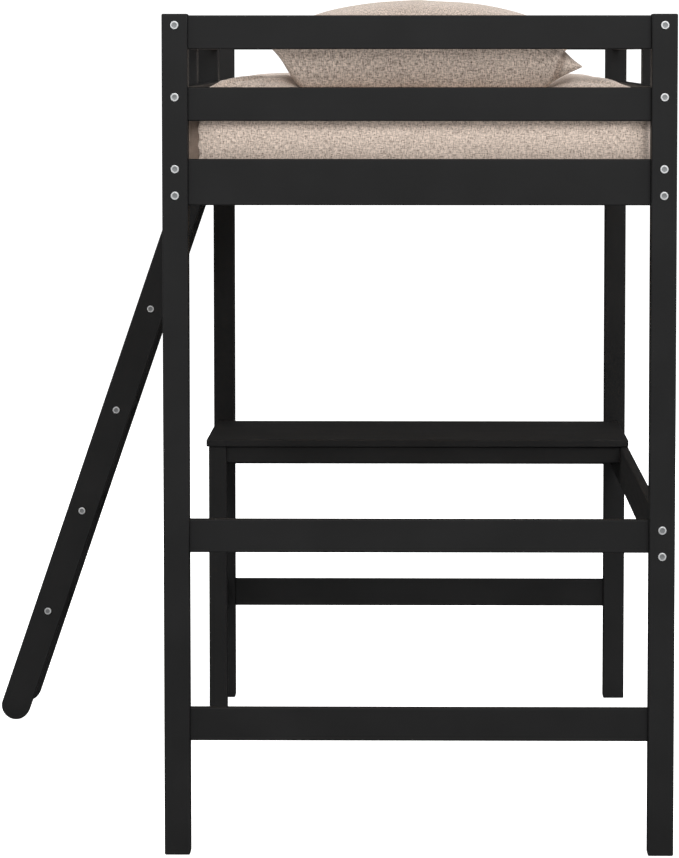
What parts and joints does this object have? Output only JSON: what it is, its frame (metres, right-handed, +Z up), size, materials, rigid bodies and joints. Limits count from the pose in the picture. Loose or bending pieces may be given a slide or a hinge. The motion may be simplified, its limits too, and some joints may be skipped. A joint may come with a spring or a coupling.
{
  "type": "loft bed",
  "caption": "Raised single bed on square posts with guard rails, a desk built in under one end, a leaning ladder hooked over the side rail, and a mattress with a pillow.",
  "frame": {"origin": "on the floor, under the middle of the whole footprint, ladder included", "axes": "+Z up; +Y along the bed towards the desk end, the pillow end is -Y; -X is the side the ladder leans on"},
  "size_m": [1.5912, 1.981, 1.7889],
  "materials": {
    "black_paint": "satin",
    "pine": "matte",
    "zinc_steel": "satin",
    "mattress_fabric": "matte",
    "pillow_fabric": "matte"
  },
  "bodies": {
    "frame": {"post_near_left": "black_paint", "post_near_right": "black_paint", "near_top_rail": "black_paint", "near_guard_rail": "black_paint", "near_bed_rail": "black_paint", "near_low_rail": "black_paint", "near_bottom_rail": "black_paint", "post_far_left": "black_paint", "post_far_right": "black_paint", "far_top_rail": "black_paint", "far_guard_rail": "black_paint", "far_bed_rail": "black_paint", "far_desk_rail": "black_paint", "far_bottom_rail": "black_paint", "left_bed_rail": "black_paint", "left_top_guard_rail": "black_paint", "left_mid_guard_rail": "black_paint", "left_guard_stile": "black_paint", "left_ledger": "pine", "right_bed_rail": "black_paint", "right_top_guard_rail": "black_paint", "right_mid_guard_rail": "black_paint", "right_guard_stile": "black_paint", "right_ledger": "pine", "ladder_guard_post": "black_paint", "right_brace_rail": "black_paint", "slat_01": "pine", "slat_02": "pine", "slat_03": "pine", "slat_04": "pine", "slat_05": "pine", "slat_06": "pine", "slat_07": "pine", "slat_08": "pine", "slat_09": "pine", "slat_10": "pine", "slat_11": "pine", "slat_12": "pine", "desk_top": "black_paint", "desk_leg": "black_paint", "desk_apron": "black_paint", "desk_side_rail": "black_paint", "desk_side_stretcher": "black_paint", "desk_back_cleat": "black_paint"},
    "ladder": {"ladder_stringer_near": "black_paint", "ladder_stringer_far": "black_paint", "ladder_hook_near": "zinc_steel", "ladder_hook_far": "zinc_steel", "ladder_tread_1": "black_paint", "ladder_tread_2": "black_paint", "ladder_tread_3": "black_paint", "ladder_tread_4": "black_paint", "ladder_tread_5": "black_paint"},
    "mattress": {"mattress": "mattress_fabric"},
    "pillow": {"pillow": "pillow_fabric"}
  },
  "joints": [
    {"name": "ladder_lift", "type": "slide", "parent": "frame", "child": "ladder", "axis": [0, 0, 1], "range_m": [0, 0.06]},
    {"name": "mattress_lift", "type": "slide", "parent": "frame", "child": "mattress", "axis": [0, 0, 1], "range_m": [0, 0.25]},
    {"name": "pillow_lift", "type": "slide", "parent": "mattress", "child": "pillow", "axis": [0, 0, 1], "range_m": [0, 0.25]}
  ]
}
